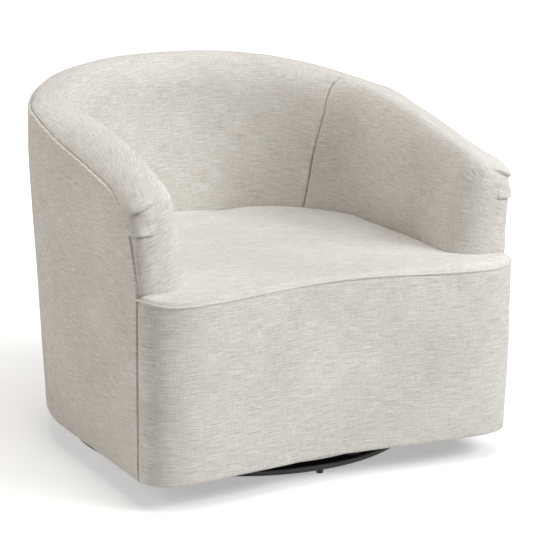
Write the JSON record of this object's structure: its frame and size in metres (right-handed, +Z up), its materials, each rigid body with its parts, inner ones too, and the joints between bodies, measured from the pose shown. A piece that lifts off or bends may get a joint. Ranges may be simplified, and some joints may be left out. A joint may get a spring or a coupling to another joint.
{
  "type": "swivel barrel chair",
  "caption": "Upholstered barrel chair with a rounded padded back and sloping arms, turning on a low steel ring base.",
  "frame": {"origin": "on the floor, on the swivel axis, under the middle of the chair", "axes": "the seat faces -Y, +X is the sitter's left, +Z is up along the swivel axis"},
  "size_m": [0.8058, 0.8445, 0.711],
  "materials": {
    "linen": "coarse natural linen weave with slubs",
    "black_steel": "black powder coat, satin",
    "zinc_steel": "zinc plated",
    "spring_steel": "drawn wire",
    "glide_plastic": "moulded",
    "timber": "sawn, unfinished",
    "webbing": "woven",
    "dust_cloth": "non-woven black cloth"
  },
  "bodies": {
    "base": {"base_ring": "black_steel", "rail_left": "black_steel", "rail_right": "black_steel", "glide_1": "glide_plastic", "glide_2": "glide_plastic", "glide_3": "glide_plastic", "glide_4": "glide_plastic", "glide_5": "glide_plastic", "glide_6": "glide_plastic", "lower_plate": "black_steel", "centre_pin": "zinc_steel", "pin_washer": "zinc_steel", "lower_plate_bolts": "zinc_steel", "lower_plate_nuts": "zinc_steel"},
    "bearing": {"ball_cage": "zinc_steel", "bearing_balls": "zinc_steel"},
    "chair": {"upper_plate": "black_steel", "upper_plate_bolts": "zinc_steel", "swivel_board": "timber", "sill_front": "timber", "sill_back": "timber", "sill_left": "timber", "sill_right": "timber", "front_post_left": "timber", "front_post_right": "timber", "middle_post_left": "timber", "middle_post_right": "timber", "rear_post_left": "timber", "rear_post_right": "timber", "back_post": "timber", "arm_rail_left": "timber", "arm_rail_right": "timber", "back_top_rail": "timber", "seat_rail_left": "timber", "seat_rail_right": "timber", "seat_rail_back": "timber", "front_rail": "timber", "corner_block_left": "timber", "corner_block_right": "timber", "seat_spring_1": "spring_steel", "seat_spring_2": "spring_steel", "seat_spring_3": "spring_steel", "seat_spring_4": "spring_steel", "spring_clips": "spring_steel", "deck_cloth": "webbing", "back_strap_1": "webbing", "back_strap_2": "webbing", "back_strap_3": "webbing", "dust_cover": "dust_cloth", "seat_pad": "linen", "back_pad": "linen", "arm_pad_left": "linen", "arm_pad_right": "linen", "arm_front_pad_left": "linen", "arm_front_pad_right": "linen", "front_border": "linen", "seat_welt": "linen", "outside_back_panel": "linen", "outside_arm_panel_left": "linen", "outside_arm_panel_right": "linen"}
  },
  "joints": [
    {"name": "swivel", "type": "hinge", "parent": "base", "child": "chair", "pos_m": [0, 0, 0.046], "axis": [0, 0, 1], "continuous": true},
    {"name": "bearing_turn", "type": "hinge", "parent": "base", "child": "bearing", "pos_m": [0, 0, 0.046], "axis": [0, 0, 1], "continuous": true}
  ],
  "couplings": [
    {"joint": "bearing_turn", "follows": "swivel", "ratio": 0.5}
  ]
}
